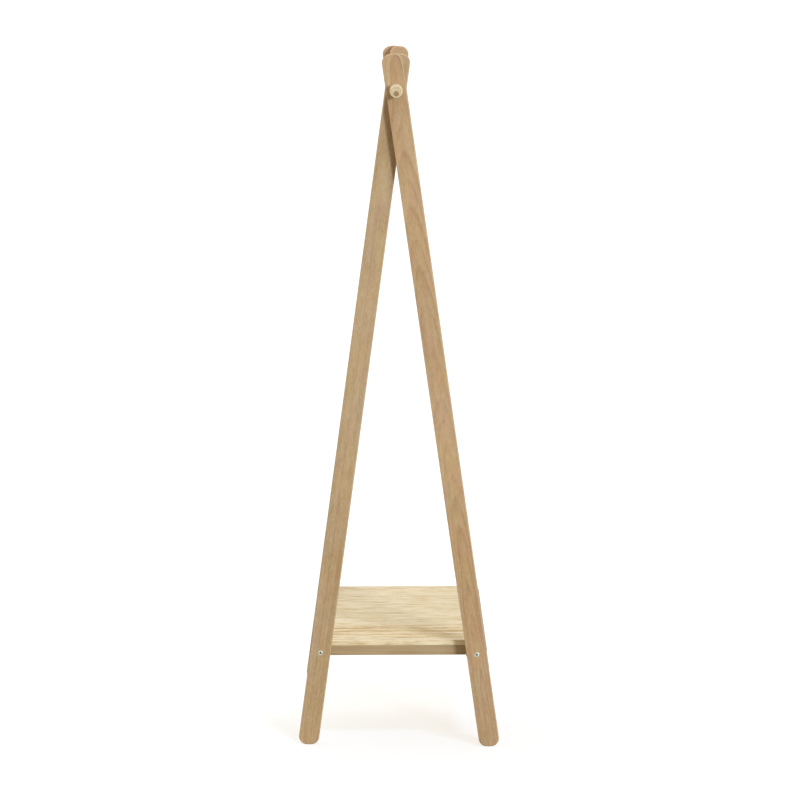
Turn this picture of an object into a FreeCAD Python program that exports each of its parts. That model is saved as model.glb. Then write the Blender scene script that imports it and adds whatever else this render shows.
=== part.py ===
"""Open frame wardrobe: two crossed pairs of legs on a round hanging rail, with a slatted shoe shelf.

Units are millimetres. X runs along the hanging rail, Y is the depth and Z is up. The origin is on the
floor, in the middle of the four feet. The outer legs stand on the back (+Y) side and the inner legs on
the front (-Y) side. They cross at the rail, which is the hinge on which the frame folds. The shelf turns
on two bolts in the outer legs, and its hook rail drops over a bar between the inner legs.
"""
import FreeCAD, Part
import os
import re
import Sketcher
from FreeCAD import Placement, Rotation, Vector

SIZES = (
    ("overall_height", 1650, "floor to the highest point of the legs"),
    ("frame_length", 800, "between the outside faces of the outer legs"),
    ("foot_spread", 436, "between the leg centre lines, on the floor"),
    ("leg_above_rail", 84, "top of the legs above the rail's centre"),
    ("pivot_height", "=overall_height - leg_above_rail", "floor to the hanging rail's centre"),
    ("leg_width", 48.5, "across the face of a leg"),
    ("leg_thickness", 28, "of a leg, along the rail"),
    ("leg_end_radius", 20, "rounded corners at the leg ends"),
    ("leg_edge_round", 2.5, "eased long edges of a leg"),
    ("rail_diameter", 30, "hanging rail"),
    ("rail_overhang", 100, "rail end beyond the outer leg"),
    ("rail_end_round", 3, "eased rim of the rail end"),
    ("plug_diameter", 12, "wooden plug in the rail end"),
    ("plug_depth", 15, "of the plug"),
    ("plug_drop", 5, "plug centre below the rail's centre"),
    ("pin_diameter", 8, "dowel pin that holds the rail in the outer leg"),
    ("pin_reach", 6, "of the pin past the rail's centre"),
    ("washer_diameter", 44, "slip washer between the crossing legs"),
    ("washer_thickness", 1, "of the slip washer"),
    ("washer_play", 0.1, "between the washer and the inner leg"),
    ("running_fit", 0.06, "radial clearance of a turning fit"),
    ("glue_gap", 0.05, "radial clearance of a glued or screwed fit"),
    ("bolt_height", 224, "floor to the shelf bolts"),
    ("bolt_diameter", 6, "countersunk bolts"),
    ("bolt_head_diameter", 12, "of the countersunk head"),
    ("bolt_head_depth", 3.3, "of the countersunk head"),
    ("socket_corners", 4.6, "across the corners of a bolt's hexagon socket"),
    ("socket_depth", 2.4, "of the hexagon socket"),
    ("pivot_bolt_length", 56, "bolt through the outer leg"),
    ("bar_bolt_length", 48, "bolt through the inner leg"),
    ("insert_diameter", 10, "threaded insert in the hinge rail's end"),
    ("insert_length", 30, "of the threaded insert"),
    ("bar_diameter", 12, "rest bar between the inner legs"),
    ("shelf_rail_height", 24, "all rails under the slats"),
    ("hinge_rail_width", 50, "long rail on the outer legs"),
    ("hinge_rail_round", 5, "long edges of the hinge rail"),
    ("hinge_rail_play", 0.5, "between the hinge rail's end and the outer leg"),
    ("hook_rail_width", 46, "long rail on the rest bar"),
    ("hook_rail_round", 2, "long edges of the hook rail"),
    ("hook_clearance", 0.5, "between the rest bar and its hook"),
    ("fold_ratio", 5.85, "shelf's turn for each degree that the frame folds"),
    ("cross_rail_thickness", 22, "of a cross rail"),
    ("dowel_diameter", 8, "dowels between cross rails and long rails"),
    ("dowel_length", 30, "of a dowel"),
    ("dowel_seat", 8, "dowel's depth in the long rail"),
    ("dowel_drop", 4, "dowels below the rails' centre"),
    ("shelf_end_play", 1, "between the slats and the inner legs"),
    ("slat_count", 19, "number of slats"),
    ("slat_gap", 4, "between slats"),
    ("slat_thickness", 12, "of a slat"),
    ("slat_overhang", 18, "slat ends past the bolt axes"),
    ("slat_edge_round", 1.5, "eased upper edges of a slat"),
    ("screw_diameter", 4, "slat screws"),
    ("screw_head_diameter", 7.5, "of the countersunk head"),
    ("screw_head_depth", 2.2, "of the countersunk head"),
    ("screw_length", 22, "of a slat screw"),
    ("screw_inset", 10, "hook rail's inner face to its screws"),
)
NAMES = {name for name, value, note in SIZES}

# Places worked out from the sizes, as formulas
LEAN = "atan(foot_spread / (2 * pivot_height))"
BOLT_Y = "((pivot_height - bolt_height) * foot_spread / (2 * pivot_height))"
BOLT_DROP = f"((pivot_height - bolt_height) / cos({LEAN}))"
OUTER_LEG_INSIDE = "(frame_length / 2 - leg_thickness)"
OUTER_LEG_MIDDLE = "(frame_length / 2 - leg_thickness / 2)"
INNER_LEG_OUTSIDE = f"({OUTER_LEG_INSIDE} - washer_thickness - washer_play)"
INNER_LEG_INSIDE = f"({INNER_LEG_OUTSIDE} - leg_thickness)"
RAIL_END = "(frame_length / 2 + rail_overhang)"
SHELF_END = f"({INNER_LEG_INSIDE} - shelf_end_play)"
SLAT_WIDTH = f"((2 * {SHELF_END} + slat_gap) / slat_count - slat_gap)"
SLAT_PITCH = f"({SLAT_WIDTH} + slat_gap)"
FIRST_SLAT = f"({SLAT_WIDTH} / 2 - {SHELF_END})"
RAIL_TOP = "(bolt_height + shelf_rail_height / 2)"
SHELF_TOP = f"({RAIL_TOP} + slat_thickness)"
HINGE_INNER_Y = f"({BOLT_Y} - hinge_rail_width / 2)"
HOOK_INNER_Y = f"(hook_rail_width / 2 - {BOLT_Y})"
HOOK_RADIUS = "(bar_diameter / 2 + hook_clearance)"
HOOK_SLANT = f"(atan((pivot_height - bolt_height) / ({BOLT_Y} * (1 + 2 * fold_ratio))) + 1 deg)"
HOOK_SCREW_Y = f"({HOOK_INNER_Y} - screw_inset)"
LEG_TOP = (f"((leg_above_rail - (leg_width / 2 - leg_end_radius) * sin({LEAN})"
           f" - leg_end_radius) / cos({LEAN}) + leg_end_radius)")
PIN_TURN = f"90 deg - {LEAN}"
PIN_START_Y = f"(-pin_reach * cos({LEAN}))"
PIN_START_DROP = f"(-pin_reach * sin({LEAN}))"

# How far a cutting shape reaches past the face that it cuts through
OVERCUT = 1.0

ALONG_X = Rotation(Vector(0, 1, 0), 90)
AGAINST_X = Rotation(Vector(0, 1, 0), -90)
ALONG_Y = Rotation(Vector(1, 0, 0), -90)
DOWNWARD = Rotation(Vector(1, 0, 0), 180)
UPRIGHT = Rotation()
FRONTWARD = Rotation(Vector(1, 0, 0), 90)
TILTED_BACK = Rotation(Vector(-1, 0, 0), 80)
ENDS = (("right", 1, AGAINST_X), ("left", -1, ALONG_X))

doc = FreeCAD.newDocument("open_frame_wardrobe")
sheet = doc.addObject("Spreadsheet::Sheet", "Sizes")
for row, (name, value, note) in enumerate(SIZES, start=1):
    sheet.set(f"A{row}", note)
    sheet.set(f"B{row}", str(value))
    sheet.setAlias(f"B{row}", name)
doc.recompute()

parts = []


def with_sheet(formula):
    """Puts the sheet's name before each of its aliases in a formula."""
    return re.sub(r"[a-z_]+", lambda word: "Sizes." + word[0] if word[0] in NAMES else word[0], formula)


def bind(item, formulas):
    """Ties properties of an object to formulas in the sheet's names."""
    for name, formula in formulas.items():
        item.setExpression(name, with_sheet(formula))


def place(item, turn, x="0", y="0", z="0"):
    """Turns an object and ties its position to formulas."""
    item.Placement = Placement(Vector(), turn)
    bind(item, {"Placement.Base.x": x, "Placement.Base.y": y, "Placement.Base.z": z})


def new_body(label):
    body = doc.addObject("PartDesign::Body", label)
    body.Label = label
    return body


def origin_feature(body, role):
    return next(item for item in body.Origin.OriginFeatures if item.Role == role)


def primitive(body, kind, name, formulas, turn=UPRIGHT, x="0", y="0", z="0"):
    """Adds or subtracts a box, cylinder, cone or prism in a body."""
    item = body.newObject("PartDesign::" + kind, f"{body.Name}_{name}")
    bind(item, formulas)
    place(item, turn, x, y, z)
    return item


def taper(body, kind, name, fastener, clearance, turn=UPRIGHT, x="0", y="0", z="0"):
    """Adds a countersunk head of a bolt or screw, or subtracts its seat."""
    return primitive(body, kind, name,
                     {"Radius1": f"{fastener}_head_diameter / 2 + {clearance}",
                      "Radius2": f"{fastener}_diameter / 2 + {clearance}",
                      "Height": f"{fastener}_head_depth"}, turn, x, y, z)


def round_edges(body, base, name, radius, wanted):
    """Rounds the edges of a feature for which wanted() is true."""
    doc.recompute()
    edges = [f"Edge{index}" for index, edge in enumerate(base.Shape.Edges, start=1) if wanted(edge)]
    item = body.newObject("PartDesign::Fillet", f"{body.Name}_{name}")
    item.Base = (base, edges)
    bind(item, {"Radius": radius})
    return item


def repeat_along_x(body, hole, name):
    """Repeats a slat's screw hole under every slat."""
    pattern = body.newObject("PartDesign::LinearPattern", f"{body.Name}_{name}")
    pattern.Originals = [hole]
    pattern.Direction = (origin_feature(body, "X_Axis"), [""])
    bind(pattern, {"Length": f"{SLAT_PITCH} * (slat_count - 1)", "Occurrences": "slat_count"})
    body.Tip = pattern
    return pattern


def lies_across_x(edge):
    return edge.BoundBox.XLength < 1e-6


def runs_along_x(edge):
    return edge.BoundBox.YLength < 1e-6 and edge.BoundBox.ZLength < 1e-6


def leg_outline(body, lean):
    """Four-sided leg outline about the pivot: square at the top, cut to the floor at the foot."""
    sketch = body.newObject("Sketcher::SketchObject", body.Name + "_outline")
    sketch.AttachmentSupport = (origin_feature(body, "YZ_Plane"), [""])
    sketch.MapMode = "FlatFace"
    half = sheet.leg_width / 2
    top = sheet.leg_above_rail
    drop = sheet.pivot_height
    corners = [Vector(half, top), Vector(-half, top), Vector(-half, -drop), Vector(half, -drop)]
    for start, end in zip(corners, corners[1:] + corners[:1]):
        sketch.addGeometry(Part.LineSegment(start, end))
    head, left, foot, right = range(4)
    for first, second in ((head, left), (left, foot), (foot, right), (right, head)):
        sketch.addConstraint(Sketcher.Constraint("Coincident", first, 2, second, 1))
    sketch.addConstraint(Sketcher.Constraint("Horizontal", head))
    sketch.addConstraint(Sketcher.Constraint("Vertical", left))
    sketch.addConstraint(Sketcher.Constraint("Vertical", right))
    left_drop = f"(pivot_height - {lean} * leg_width / 2 * sin({LEAN})) / cos({LEAN})"
    right_drop = f"(pivot_height + {lean} * leg_width / 2 * sin({LEAN})) / cos({LEAN})"
    root, centre = -1, 1
    sized = (
        ("right_half", "DistanceX", (root, centre, head, 1), half, "leg_width / 2"),
        ("left_half", "DistanceX", (head, 2, root, centre), half, "leg_width / 2"),
        ("top", "DistanceY", (root, centre, head, 1), top, LEG_TOP),
        ("left_drop", "DistanceY", (foot, 1, root, centre), drop, left_drop),
        ("right_drop", "DistanceY", (foot, 2, root, centre), drop, right_drop),
    )
    for name, kind, ends, start_value, formula in sized:
        index = sketch.addConstraint(Sketcher.Constraint(kind, *ends, start_value))
        sketch.renameConstraint(index, name)
        bind(sketch, {"Constraints." + name: formula})
    return sketch


def countersunk_hole(body, outward):
    """Bolt hole through a leg, with its countersink on the leg's outside face."""
    z = f"-{BOLT_DROP}"
    primitive(body, "SubtractiveCylinder", "bolt_hole",
              {"Radius": "bolt_diameter / 2 + running_fit", "Height": f"leg_thickness + {2 * OVERCUT}"},
              ALONG_X, f"-{OVERCUT}", "0", z)
    turn, face = (AGAINST_X, "leg_thickness") if outward > 0 else (ALONG_X, "0")
    taper(body, "SubtractiveCone", "countersink", "bolt", "running_fit", turn, face, "0", z)


def make_leg(label, lean, outward, x):
    """One leg about the pivot; lean is +1 for a foot at the back and -1 for one at the front."""
    body = new_body(label)
    pad = body.newObject("PartDesign::Pad", label + "_blank")
    pad.Profile = leg_outline(body, lean)
    bind(pad, {"Length": "leg_thickness"})
    ends = round_edges(body, pad, "ends", "leg_end_radius", runs_along_x)
    round_edges(body, ends, "edges", "leg_edge_round", lies_across_x)
    primitive(body, "SubtractiveCylinder", "rail_hole",
              {"Radius": "rail_diameter / 2 + running_fit", "Height": f"leg_thickness + {2 * OVERCUT}"},
              ALONG_X, f"-{OVERCUT}")
    countersunk_hole(body, outward)
    if lean > 0:
        primitive(body, "SubtractiveCylinder", "pin_hole",
                  {"Radius": "pin_diameter / 2 + glue_gap", "Height": f"leg_width / 2 + {OVERCUT}"},
                  ALONG_Y, "leg_thickness / 2")
    place(body, Rotation(Vector(lean, 0, 0), 1), x, "0", "pivot_height")
    bind(body, {"Placement.Rotation.Angle": LEAN})
    parts.append(body)


def make_hanging_rail():
    """Round rail through all four legs, with plugged ends and a pin hole in each outer leg."""
    body = new_body("hanging_rail")
    rod = primitive(body, "AdditiveCylinder", "rod",
                    {"Radius": "rail_diameter / 2", "Height": f"2 * {RAIL_END}"}, ALONG_X, f"-{RAIL_END}")
    round_edges(body, rod, "rims", "rail_end_round", lies_across_x)
    for side, sign, inward in ENDS:
        primitive(body, "SubtractiveCylinder", "plug_hole_" + side,
                  {"Radius": "plug_diameter / 2 + glue_gap", "Height": "plug_depth"},
                  inward, f"{sign} * {RAIL_END}", "0", "-plug_drop")
        hole = primitive(body, "SubtractiveCylinder", "pin_hole_" + side,
                         {"Radius": "pin_diameter / 2 + glue_gap", "Height": "pin_reach + rail_diameter"},
                         TILTED_BACK, f"{sign} * {OUTER_LEG_MIDDLE}", PIN_START_Y, PIN_START_DROP)
        bind(hole, {"Placement.Rotation.Angle": PIN_TURN})
    place(body, UPRIGHT, z="pivot_height")
    parts.append(body)


def cylinder(label, radius, height, turn, x, y, z):
    item = doc.addObject("Part::Cylinder", label)
    item.Label = label
    bind(item, {"Radius": radius, "Height": height})
    place(item, turn, x, y, z)
    return item


def make_rail_plug(side, sign, inward):
    parts.append(cylinder("rail_plug_" + side, "plug_diameter / 2", "plug_depth", inward,
                          f"{sign} * {RAIL_END}", "0", "pivot_height - plug_drop"))


def make_rail_pin(side, sign):
    """Dowel pin from the outer leg's back edge into the rail."""
    pin = cylinder("rail_pin_" + side, "pin_diameter / 2", "pin_reach + leg_width / 2",
                   TILTED_BACK, f"{sign} * {OUTER_LEG_MIDDLE}", PIN_START_Y,
                   f"pivot_height + {PIN_START_DROP}")
    bind(pin, {"Placement.Rotation.Angle": PIN_TURN})
    parts.append(pin)


def make_ring(label, outer_radius, bore_radius, height, turn, x, y, z):
    """Plain ring, such as a washer or a threaded insert."""
    disc = cylinder(label + "_disc", outer_radius, height, turn, x, y, z)
    bore = cylinder(label + "_bore", bore_radius, height, turn, x, y, z)
    ring = doc.addObject("Part::Cut", label)
    ring.Label = label
    ring.Base = disc
    ring.Tool = bore
    parts.append(ring)


def make_bolt(label, length, turn, x, y):
    """Countersunk bolt with a hexagon socket; its head's face is at x."""
    body = new_body(label)
    primitive(body, "AdditiveCylinder", "shank", {"Radius": "bolt_diameter / 2", "Height": length})
    taper(body, "AdditiveCone", "head", "bolt", "0")
    socket = primitive(body, "SubtractivePrism", "socket",
                       {"Circumradius": "socket_corners / 2", "Height": "socket_depth"})
    socket.Polygon = 6
    place(body, turn, x, y, "bolt_height")
    parts.append(body)


def make_rest_bar():
    """Steel bar between the inner legs, tapped at both ends."""
    body = new_body("rest_bar")
    primitive(body, "AdditiveCylinder", "rod",
              {"Radius": "bar_diameter / 2", "Height": f"2 * {INNER_LEG_INSIDE}"},
              ALONG_X, f"-{INNER_LEG_INSIDE}")
    for side, sign, inward in ENDS:
        primitive(body, "SubtractiveCylinder", "thread_" + side,
                  {"Radius": "bolt_diameter / 2 + glue_gap",
                   "Height": f"bar_bolt_length - leg_thickness + {OVERCUT}"},
                  inward, f"{sign} * {INNER_LEG_INSIDE}")
    place(body, UPRIGHT, "0", f"-{BOLT_Y}", "bolt_height")
    parts.append(body)


def long_rail(label, half_length, width, edge_round):
    """Shelf rail along X about its own centre, with its long edges rounded."""
    body = new_body(label)
    bar = primitive(body, "AdditiveBox", "bar",
                    {"Length": f"2 * {half_length}", "Width": width, "Height": "shelf_rail_height"},
                    UPRIGHT, f"-{half_length}", f"-{width} / 2", "-shelf_rail_height / 2")
    round_edges(body, bar, "edges", edge_round, runs_along_x)
    return body


def dowel_holes(body, face_y, turn):
    """Blind dowel holes, one for each cross rail, in a long rail's inner face."""
    for name, x in CROSS_RAILS:
        primitive(body, "SubtractiveCylinder", "dowel_hole_" + name,
                  {"Radius": "dowel_diameter / 2 + glue_gap", "Height": "dowel_seat"},
                  turn, x, face_y, "-dowel_drop")


def screw_holes(body, y):
    """Blind screw holes from a long rail's upper face, one under each slat."""
    hole = primitive(body, "SubtractiveCylinder", "screw_hole",
                     {"Radius": "screw_diameter / 2 + glue_gap", "Height": "screw_length - slat_thickness"},
                     DOWNWARD, FIRST_SLAT, y, "shelf_rail_height / 2")
    repeat_along_x(body, hole, "screw_holes")


def make_hinge_rail():
    """Long rail between the outer legs, which turns on their bolts."""
    half_length = f"({OUTER_LEG_INSIDE} - hinge_rail_play)"
    body = long_rail("shelf_hinge_rail", half_length, "hinge_rail_width", "hinge_rail_round")
    for side, sign, inward in ENDS:
        primitive(body, "SubtractiveCylinder", "insert_hole_" + side,
                  {"Radius": "insert_diameter / 2 + glue_gap", "Height": "insert_length"},
                  inward, f"{sign} * {half_length}")
        make_ring("hinge_insert_" + side, "insert_diameter / 2", "bolt_diameter / 2 + glue_gap",
                  "insert_length", inward, f"{sign} * {half_length}", BOLT_Y, "bolt_height")
    dowel_holes(body, "-hinge_rail_width / 2", ALONG_Y)
    screw_holes(body, "0")
    place(body, UPRIGHT, "0", BOLT_Y, "bolt_height")
    parts.append(body)


def make_hook_rail():
    """Long rail whose slanted groove drops over the rest bar."""
    body = long_rail("shelf_hook_rail", SHELF_END, "hook_rail_width", "hook_rail_round")
    length = f"2 * {SHELF_END} + {2 * OVERCUT}"
    start = f"-{SHELF_END} - {OVERCUT}"
    primitive(body, "SubtractiveCylinder", "hook_seat",
              {"Radius": HOOK_RADIUS, "Height": length}, ALONG_X, start)
    mouth = primitive(body, "SubtractiveBox", "hook_mouth",
                      {"Length": length, "Width": f"2 * {HOOK_RADIUS}", "Height": "shelf_rail_height"},
                      Rotation(Vector(1, 0, 0), 1), start,
                      f"shelf_rail_height * sin({HOOK_SLANT}) - {HOOK_RADIUS} * cos({HOOK_SLANT})",
                      f"-shelf_rail_height * cos({HOOK_SLANT}) - {HOOK_RADIUS} * sin({HOOK_SLANT})")
    bind(mouth, {"Placement.Rotation.Angle": HOOK_SLANT})
    dowel_holes(body, "hook_rail_width / 2", FRONTWARD)
    screw_holes(body, "hook_rail_width / 2 - screw_inset")
    place(body, UPRIGHT, "0", f"-{BOLT_Y}", "bolt_height")
    parts.append(body)


CROSS_RAILS = (
    ("right", f"({SHELF_END} - cross_rail_thickness / 2)"),
    ("middle", "0"),
    ("left", f"(cross_rail_thickness / 2 - {SHELF_END})"),
)


def make_cross_rail(name, x):
    """Rail from the hook rail to the hinge rail, with a dowel hole in each end."""
    body = new_body("shelf_cross_rail_" + name)
    length = f"({HINGE_INNER_Y} - {HOOK_INNER_Y})"
    primitive(body, "AdditiveBox", "bar",
              {"Length": "cross_rail_thickness", "Width": length, "Height": "shelf_rail_height"},
              UPRIGHT, "-cross_rail_thickness / 2", "0", "-shelf_rail_height / 2")
    depth = "dowel_length - dowel_seat"
    for end, turn, y in (("front", ALONG_Y, "0"), ("back", FRONTWARD, length)):
        primitive(body, "SubtractiveCylinder", "dowel_hole_" + end,
                  {"Radius": "dowel_diameter / 2 + glue_gap", "Height": depth}, turn, "0", y, "-dowel_drop")
    place(body, UPRIGHT, x, HOOK_INNER_Y, "bolt_height")
    parts.append(body)


def group(label, members):
    """Identical small pieces kept as one sub-part of separate solids."""
    item = doc.addObject("Part::Compound", label)
    item.Label = label
    item.Links = members
    parts.append(item)


def make_dowels():
    ends = (("front", f"{HOOK_INNER_Y} - dowel_seat"),
            ("back", f"{HINGE_INNER_Y} + dowel_seat - dowel_length"))
    group("shelf_dowels", [
        cylinder(f"shelf_dowel_{name}_{end}", "dowel_diameter / 2", "dowel_length", ALONG_Y,
                 x, y, "bolt_height - dowel_drop")
        for name, x in CROSS_RAILS for end, y in ends])


def slat_x(index):
    return f"({FIRST_SLAT} + {index} * {SLAT_PITCH})"


def make_slat(index):
    """One slat across the shelf, with eased upper edges and a countersunk hole near each end."""
    body = new_body(f"shelf_slat_{index + 1:02d}")
    half_length = f"({BOLT_Y} + slat_overhang)"
    board = primitive(body, "AdditiveBox", "board",
                      {"Length": SLAT_WIDTH, "Width": f"2 * {half_length}", "Height": "slat_thickness"},
                      UPRIGHT, f"-{SLAT_WIDTH} / 2", f"-{half_length}", "-slat_thickness")
    round_edges(body, board, "edges", "slat_edge_round",
                lambda edge: edge.BoundBox.ZMin > -sheet.slat_thickness / 2)
    for end, y in (("front", HOOK_SCREW_Y), ("back", BOLT_Y)):
        primitive(body, "SubtractiveCylinder", "screw_hole_" + end,
                  {"Radius": "screw_diameter / 2 + glue_gap", "Height": f"slat_thickness + {2 * OVERCUT}"},
                  DOWNWARD, "0", y, str(OVERCUT))
        taper(body, "SubtractiveCone", "countersink_" + end, "screw", "glue_gap", DOWNWARD, "0", y)
    place(body, UPRIGHT, slat_x(index), "0", SHELF_TOP)
    parts.append(body)


def make_screw(index, end, y):
    body = new_body(f"slat_screw_{index + 1:02d}_{end}")
    primitive(body, "AdditiveCylinder", "shank", {"Radius": "screw_diameter / 2", "Height": "screw_length"})
    taper(body, "AdditiveCone", "head", "screw", "0")
    place(body, DOWNWARD, slat_x(index), y, SHELF_TOP)
    return body


make_leg("outer_leg_right", 1, 1, OUTER_LEG_INSIDE)
make_leg("outer_leg_left", 1, -1, "-frame_length / 2")
make_leg("inner_leg_right", -1, 1, INNER_LEG_INSIDE)
make_leg("inner_leg_left", -1, -1, f"-{INNER_LEG_OUTSIDE}")
make_hanging_rail()
for side, sign, inward in ENDS:
    make_rail_plug(side, sign, inward)
    make_rail_pin(side, sign)
    make_ring("pivot_washer_" + side, "washer_diameter / 2", "rail_diameter / 2 + running_fit",
              "washer_thickness", inward, f"{sign} * {OUTER_LEG_INSIDE}", "0", "pivot_height")
    make_bolt("shelf_pivot_bolt_" + side, "pivot_bolt_length", inward, f"{sign} * frame_length / 2", BOLT_Y)
    make_bolt("rest_bar_bolt_" + side, "bar_bolt_length", inward,
              f"{sign} * {INNER_LEG_OUTSIDE}", f"-{BOLT_Y}")
make_rest_bar()
make_hinge_rail()
make_hook_rail()
for name, x in CROSS_RAILS:
    make_cross_rail(name, x)
make_dowels()
slat_numbers = range(int(sheet.slat_count))
for index in slat_numbers:
    make_slat(index)
group("slat_screws", [make_screw(index, end, y) for index in slat_numbers
                      for end, y in (("front", HOOK_SCREW_Y), ("back", BOLT_Y))])
doc.recompute()

failed = [item.Name for item in doc.Objects if {"Invalid", "Error"} & set(item.State)]
failed += [item.Label for item in parts if item.Shape.isNull() or not item.Shape.isValid()]
if failed:
    raise RuntimeError("failed objects: " + ", ".join(failed))

os.makedirs("parts", exist_ok=True)
for item in parts:
    item.Shape.exportStep(f"parts/{item.Label}.step")
print(len(parts), "sub-parts")
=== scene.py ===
# %% [markdown]
# # Open frame wardrobe
# A folding clothes stand in two woods. Two outer legs and two inner legs cross on one round rail, and a
# slatted shoe shelf ties their feet together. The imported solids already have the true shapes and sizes, so
# this lesson loads them, sets up the camera, floor and light, gives every wooden piece its own grain, and
# then models the small fittings that plain solids leave out: bolts, screws and end plugs. Places are in
# metres, and the sizes of grain and fittings in millimetres.

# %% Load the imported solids
import math
import random

import bmesh
import bpy
from mathutils import Matrix, Vector


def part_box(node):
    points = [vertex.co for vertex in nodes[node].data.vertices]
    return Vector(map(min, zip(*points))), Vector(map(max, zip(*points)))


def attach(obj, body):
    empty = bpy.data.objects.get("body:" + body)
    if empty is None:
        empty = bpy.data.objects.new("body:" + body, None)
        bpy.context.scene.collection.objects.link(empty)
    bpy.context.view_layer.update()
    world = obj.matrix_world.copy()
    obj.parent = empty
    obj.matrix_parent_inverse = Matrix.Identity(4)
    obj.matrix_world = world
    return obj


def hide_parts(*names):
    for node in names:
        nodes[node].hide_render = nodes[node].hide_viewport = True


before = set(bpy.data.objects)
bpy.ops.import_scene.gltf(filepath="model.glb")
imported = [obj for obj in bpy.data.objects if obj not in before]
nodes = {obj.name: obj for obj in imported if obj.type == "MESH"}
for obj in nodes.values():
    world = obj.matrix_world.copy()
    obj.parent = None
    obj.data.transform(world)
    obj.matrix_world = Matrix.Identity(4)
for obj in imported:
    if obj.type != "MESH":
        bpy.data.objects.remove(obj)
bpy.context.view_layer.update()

MM = 0.001
bpy.ops.object.select_all(action="DESELECT")

# %% [markdown]
# ## The camera
# The stand is seen end on, along its rail, from well above the shelf and from far away: the far legs are
# hardly smaller than the near ones. A camera could be placed by eye, but the leg ends, bolts and shelf
# corners fix it better: it stands 7.5 m from the near leg, looks down by less than eight degrees, and has
# a long lens.

# %% Camera
IMAGE_WIDTH = 800
FOCAL_PIXELS = 3213
SENSOR_WIDTH = 36
FARTHEST_SEEN = 500
CAMERA_PLACE = Vector((7.909, -0.0095, 1.8491))
CAMERA_DOWN = math.radians(7.671)
CAMERA_ASIDE = math.radians(0.119)
CAMERA_ROLL = math.radians(-0.233)

ahead = Vector((-math.cos(CAMERA_ASIDE) * math.cos(CAMERA_DOWN),
                math.sin(CAMERA_ASIDE) * math.cos(CAMERA_DOWN),
                -math.sin(CAMERA_DOWN)))
level_right = Vector((math.sin(CAMERA_ASIDE), math.cos(CAMERA_ASIDE), 0))
level_up = level_right.cross(ahead)
right = math.cos(CAMERA_ROLL) * level_right + math.sin(CAMERA_ROLL) * level_up
up = math.cos(CAMERA_ROLL) * level_up - math.sin(CAMERA_ROLL) * level_right
bpy.ops.object.camera_add()
camera = bpy.context.object
camera.matrix_world = Matrix.Translation(CAMERA_PLACE) @ Matrix((right, up, -ahead)).transposed().to_4x4()
camera.data.sensor_width = SENSOR_WIDTH
camera.data.lens = FOCAL_PIXELS / IMAGE_WIDTH * SENSOR_WIDTH
camera.data.clip_end = FARTHEST_SEEN
bpy.context.scene.camera = camera
print("lens", round(camera.data.lens, 1), "mm")

# %% [markdown]
# ## A way to write shaders
# Wood grain is mostly arithmetic: a distance from the heart of the tree, a remainder, a power. In the node
# editor each step is a Math node. Here a wire is wrapped in a small class, so that a sum of two wires adds
# the Math node by itself, and every other node is added by one method that takes its settings and inputs.


# %% Wires and finishes
class Wire:
    """One output of a node. Sums, products and powers of wires add Math nodes."""

    def __init__(self, finish, socket):
        self.finish = finish
        self.socket = socket

    def __add__(self, other):
        return self.finish.maths("ADD", self, other)

    def __sub__(self, other):
        return self.finish.maths("SUBTRACT", self, other)

    def __rsub__(self, other):
        return self.finish.maths("SUBTRACT", other, self)

    def __mul__(self, other):
        return self.finish.maths("MULTIPLY", self, other)

    def __truediv__(self, other):
        return self.finish.maths("DIVIDE", self, other)

    def __pow__(self, other):
        return self.finish.maths("POWER", self, other)

    def __abs__(self):
        return self.finish.maths("ABSOLUTE", self)

    __radd__ = __add__
    __rmul__ = __mul__


class Finish:
    """A node tree, with one method that adds any node to it."""

    def __init__(self, tree):
        self.tree = tree

    def node(self, kind, settings=None, inputs=None, output=0):
        """Adds a node with its settings and inputs, and returns one of its outputs."""
        made = self.tree.nodes.new(kind)
        for name, value in (settings or {}).items():
            if name == "stops":
                self.set_stops(made.color_ramp, value)
            else:
                setattr(made, name, value)
        for name, value in (inputs or {}).items():
            self.feed(made.inputs[name], value)
        return Wire(self, made.outputs[output])

    def feed(self, socket, value):
        """Leads a wire into a socket, or sets the socket to a fixed value."""
        if isinstance(value, Wire):
            self.tree.links.new(value.socket, socket)
        else:
            socket.default_value = value

    def set_stops(self, ramp, stops):
        """Gives a colour ramp its stops, each a place from 0 to 1 and a colour."""
        while len(ramp.elements) < len(stops):
            ramp.elements.new(0.5)
        for element, (place, tone) in zip(ramp.elements, stops):
            element.position = place
            element.color = tone

    def maths(self, operation, *values):
        """One step of arithmetic with numbers."""
        return self.node("ShaderNodeMath", {"operation": operation}, dict(enumerate(values)))

    def vectors(self, operation, first, second, output=0):
        """One step of arithmetic with places."""
        return self.node("ShaderNodeVectorMath", {"operation": operation}, {0: first, 1: second}, output)

    def fade(self, value, start, end):
        """0 at start, 1 at end, and a soft change between them."""
        return self.node("ShaderNodeMapRange", {"interpolation_type": "SMOOTHSTEP"},
                         {"Value": value, "From Min": start, "From Max": end})

    def blend(self, share, first, second):
        """A colour from first, where share is 0, to second, where it is 1."""
        factor, colour_a, colour_b, colour_out = 0, 6, 7, 2
        return self.node("ShaderNodeMix", {"data_type": "RGBA"},
                         {factor: share, colour_a: first, colour_b: second}, colour_out)

    def parts(self, vector):
        """The three numbers of a vector, each as a wire."""
        split = self.node("ShaderNodeSeparateXYZ", None, {0: vector}).socket.node
        return [Wire(self, socket) for socket in split.outputs]

    def distance(self, across, beside):
        """How far a point lies from an axis, by its two distances at right angles."""
        return self.maths("SQRT", across * across + beside * beside)


def colour(red, green, blue):
    """A colour as a paint chart gives it, from 0 to 255, turned into Blender's linear values."""
    def linear(value):
        share = value / 255
        return share / 12.92 if share <= 0.04045 else ((share + 0.055) / 1.055) ** 2.4
    return (linear(red), linear(green), linear(blue), 1.0)


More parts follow.
